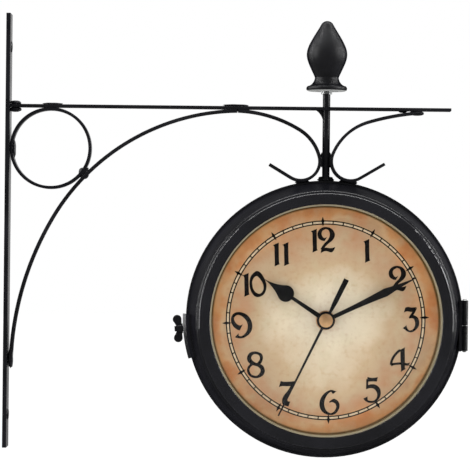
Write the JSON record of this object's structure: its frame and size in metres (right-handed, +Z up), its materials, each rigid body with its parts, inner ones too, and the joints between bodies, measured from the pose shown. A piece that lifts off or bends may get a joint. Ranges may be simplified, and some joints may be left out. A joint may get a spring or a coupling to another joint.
{
  "type": "double sided station clock",
  "caption": "Round two-faced clock hung under a scrolled wall bracket, with a hinged front half, quartz hands on each dial and a turned finial on top.",
  "frame": {"origin": "middle of the wall plate's back face, where it meets the wall", "axes": "+X out from the wall along the arm, +Z up, the front dial faces -Y"},
  "size_m": [0.3384, 0.09, 0.3214],
  "materials": {
    "black_paint": "satin",
    "bezel_paint": "gloss",
    "finial_paint": "satin",
    "bare_steel": "satin",
    "gasket_rubber": "matte",
    "clear_glass": "gloss",
    "ring_brass": "satin",
    "dial_sheet": "satin",
    "dial_paper": "matte",
    "movement_plastic": "satin",
    "battery_sleeve": "satin",
    "brass_fittings": "polished",
    "hand_black": "matte"
  },
  "bodies": {
    "root": {"wall_plate": "black_paint", "arm": "black_paint", "ring": "black_paint", "brace": "black_paint", "inner_scroll": "black_paint", "outer_scroll": "black_paint", "post": "black_paint", "gusset": "black_paint", "post_collar": "bare_steel", "finial": "finial_paint", "weld_beads": "black_paint", "rear_hinge_leaf": "black_paint", "hinge_pin": "bare_steel", "latch_stud": "black_paint", "rear_case": "black_paint", "rear_bezel": "bezel_paint", "rear_glass_gasket": "gasket_rubber", "rear_glass": "clear_glass", "rear_dial_ring": "ring_brass", "rear_dial_plate": "dial_sheet", "rear_dial_print": "dial_paper", "rear_dial_clips": "dial_sheet", "rear_movement": "movement_plastic", "rear_battery": "battery_sleeve", "rear_battery_contacts": "bare_steel", "rear_dial_washer": "brass_fittings", "rear_dial_nut": "brass_fittings"},
    "front_case": {"front_hinge_leaf": "black_paint", "latch_strap": "black_paint", "front_case": "black_paint", "front_bezel": "bezel_paint", "front_glass_gasket": "gasket_rubber", "front_glass": "clear_glass", "front_dial_ring": "ring_brass", "front_dial_plate": "dial_sheet", "front_dial_print": "dial_paper", "front_dial_clips": "dial_sheet", "front_movement": "movement_plastic", "front_battery": "battery_sleeve", "front_battery_contacts": "bare_steel", "front_dial_washer": "brass_fittings", "front_dial_nut": "brass_fittings"},
    "wing_nut": {"wing_nut": "black_paint"},
    "front_minute": {"front_minute_hand": "hand_black", "front_minute_arbor": "brass_fittings"},
    "front_hour": {"front_hour_hand": "hand_black", "front_hour_pipe": "movement_plastic"},
    "front_second": {"front_second_hand": "hand_black", "front_second_arbor": "bare_steel", "front_hand_cap": "brass_fittings"},
    "front_knob": {"front_setting_knob": "movement_plastic"},
    "rear_minute": {"rear_minute_hand": "hand_black", "rear_minute_arbor": "brass_fittings"},
    "rear_hour": {"rear_hour_hand": "hand_black", "rear_hour_pipe": "movement_plastic"},
    "rear_second": {"rear_second_hand": "hand_black", "rear_second_arbor": "bare_steel", "rear_hand_cap": "brass_fittings"},
    "rear_knob": {"rear_setting_knob": "movement_plastic"}
  },
  "joints": [
    {"name": "front_case_swing", "type": "hinge", "parent": "root", "child": "front_case", "pos_m": [0.3359, 0, -0.0661], "axis": [0, 0, 1], "range_deg": [0, 170]},
    {"name": "wing_nut_turn", "type": "hinge", "parent": "root", "child": "wing_nut", "pos_m": [0.12781, 0.005, -0.07053], "axis": [-0.9971, 0, -0.0767], "continuous": true},
    {"name": "front_minute_turn", "type": "hinge", "parent": "front_case", "child": "front_minute", "pos_m": [0.2335, -0.033, -0.0624], "axis": [0, 1, 0], "continuous": true},
    {"name": "front_hour_turn", "type": "hinge", "parent": "front_case", "child": "front_hour", "pos_m": [0.2335, -0.033, -0.0624], "axis": [0, 1, 0], "continuous": true},
    {"name": "front_second_turn", "type": "hinge", "parent": "front_case", "child": "front_second", "pos_m": [0.2335, -0.033, -0.0624], "axis": [0, 1, 0], "continuous": true},
    {"name": "front_knob_turn", "type": "hinge", "parent": "front_case", "child": "front_knob", "pos_m": [0.2205, -0.009, -0.0504], "axis": [0, 1, 0], "continuous": true},
    {"name": "rear_minute_turn", "type": "hinge", "parent": "root", "child": "rear_minute", "pos_m": [0.2335, 0.033, -0.0624], "axis": [0, -1, 0], "continuous": true},
    {"name": "rear_hour_turn", "type": "hinge", "parent": "root", "child": "rear_hour", "pos_m": [0.2335, 0.033, -0.0624], "axis": [0, -1, 0], "continuous": true},
    {"name": "rear_second_turn", "type": "hinge", "parent": "root", "child": "rear_second", "pos_m": [0.2335, 0.033, -0.0624], "axis": [0, -1, 0], "continuous": true},
    {"name": "rear_knob_turn", "type": "hinge", "parent": "root", "child": "rear_knob", "pos_m": [0.2465, 0.009, -0.0504], "axis": [0, -1, 0], "continuous": true}
  ],
  "couplings": [
    {"joint": "front_hour_turn", "follows": "front_minute_turn", "ratio": 0.083333},
    {"joint": "front_knob_turn", "follows": "front_minute_turn", "ratio": -0.33333},
    {"joint": "rear_hour_turn", "follows": "rear_minute_turn", "ratio": 0.083333},
    {"joint": "rear_knob_turn", "follows": "rear_minute_turn", "ratio": -0.33333}
  ]
}
